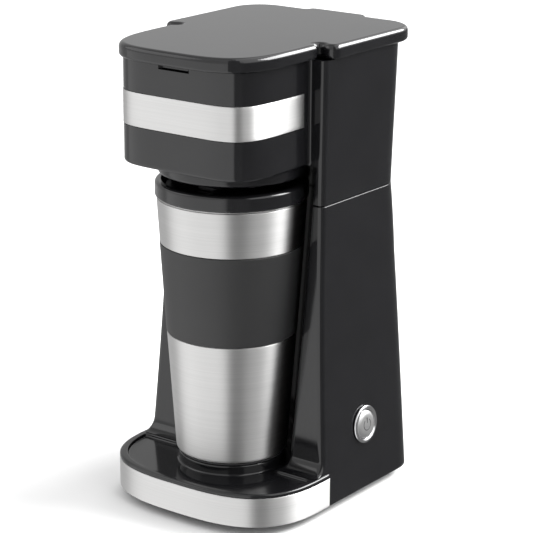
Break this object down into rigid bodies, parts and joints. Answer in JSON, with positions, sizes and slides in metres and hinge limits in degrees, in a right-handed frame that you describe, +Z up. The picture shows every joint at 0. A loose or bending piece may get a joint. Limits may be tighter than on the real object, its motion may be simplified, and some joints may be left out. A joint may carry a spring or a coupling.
{
  "type": "single-serve drip coffee maker",
  "caption": "Compact single-serve drip coffee maker: a black tower with an overhanging brew head, steel bands, hinged lid and a steel travel mug on its base.",
  "frame": {"origin": "on the table, under the middle of the machine's bounding box", "axes": "+Z up, the front with the mug bay towards -Y, +X to the right seen from the front"},
  "size_m": [0.138, 0.173, 0.29],
  "materials": {
    "gloss_black": "polished black moulding",
    "matt_black": "fine-textured black moulding",
    "brushed_steel": "brushed stainless steel",
    "chrome": "bright plated",
    "rubber": "matt charcoal rubber",
    "silicone": "translucent white silicone",
    "clear_plastic": "smoky translucent moulding",
    "aluminium": "extruded aluminium",
    "circuit_board": "green solder mask"
  },
  "bodies": {
    "machine": {"upper_housing": "gloss_black", "lower_housing": "gloss_black", "base_deck": "gloss_black", "base_plate": "matt_black", "head_trim_band": "brushed_steel", "base_trim_band": "brushed_steel", "foot_1": "rubber", "foot_2": "rubber", "foot_3": "rubber", "foot_4": "rubber", "base_screw_1": "chrome", "base_screw_2": "chrome", "base_screw_3": "chrome", "base_screw_4": "chrome", "outlet_collar": "gloss_black", "inner_deck": "matt_black", "water_tank": "clear_plastic", "feed_hose_upper": "silicone", "feed_hose_lower": "silicone", "check_valve_body": "clear_plastic", "riser_hose": "silicone", "riser_nozzle": "silicone", "hose_clamp_1": "brushed_steel", "hose_clamp_2": "brushed_steel", "hose_clamp_3": "brushed_steel", "hose_clamp_4": "brushed_steel", "heater_tube": "aluminium", "heating_element": "brushed_steel", "heater_bracket": "brushed_steel", "thermostat": "matt_black", "thermal_fuse": "silicone", "hinge_pin": "brushed_steel", "button_bezel": "chrome", "switch_body": "matt_black", "control_board": "circuit_board", "cord_gland": "rubber"},
    "lid": {"lid": "gloss_black", "lid_spreader": "matt_black"},
    "basket": {"filter_basket": "matt_black"},
    "filter": {"filter_frame": "matt_black", "filter_mesh": "brushed_steel"},
    "button": {"power_button": "chrome"},
    "valve_ball": {"check_valve_ball": "brushed_steel"},
    "mug": {"mug_shell": "brushed_steel", "mug_liner": "brushed_steel", "mug_sleeve": "rubber", "mug_base_cap": "matt_black"},
    "mug_lid": {"mug_lid": "gloss_black", "mug_lid_gasket": "silicone"},
    "drink_slider": {"mug_lid_slider": "matt_black"}
  },
  "joints": [
    {"name": "lid_hinge", "type": "hinge", "parent": "machine", "child": "lid", "pos_m": [0, 0.0815, 0.284], "axis": [-1, 0, 0], "range_deg": [0, 95]},
    {"name": "mug_slide", "type": "slide", "parent": "machine", "child": "mug", "axis": [0, -1, 0], "range_m": [0, 0.16]},
    {"name": "mug_lid_turn", "type": "hinge", "parent": "mug", "child": "mug_lid", "pos_m": [0, -0.0254, 0.2], "axis": [0, 0, 1], "continuous": true},
    {"name": "drink_slider_slide", "type": "slide", "parent": "mug_lid", "child": "drink_slider", "axis": [0, -1, 0], "range_m": [0, 0.012]},
    {"name": "basket_lift", "type": "slide", "parent": "machine", "child": "basket", "axis": [0, 0, 1], "range_m": [0, 0.004]},
    {"name": "filter_lift", "type": "slide", "parent": "basket", "child": "filter", "axis": [0, 0, 1], "range_m": [0, 0.002]},
    {"name": "power_press", "type": "slide", "parent": "machine", "child": "button", "axis": [-0.9978, 0, -0.0659], "range_m": [0, 0.0015], "stiffness_N_per_m": 400},
    {"name": "valve_ball_travel", "type": "slide", "parent": "machine", "child": "valve_ball", "axis": [0, 0, 1], "range_m": [0, 0.002]}
  ]
}
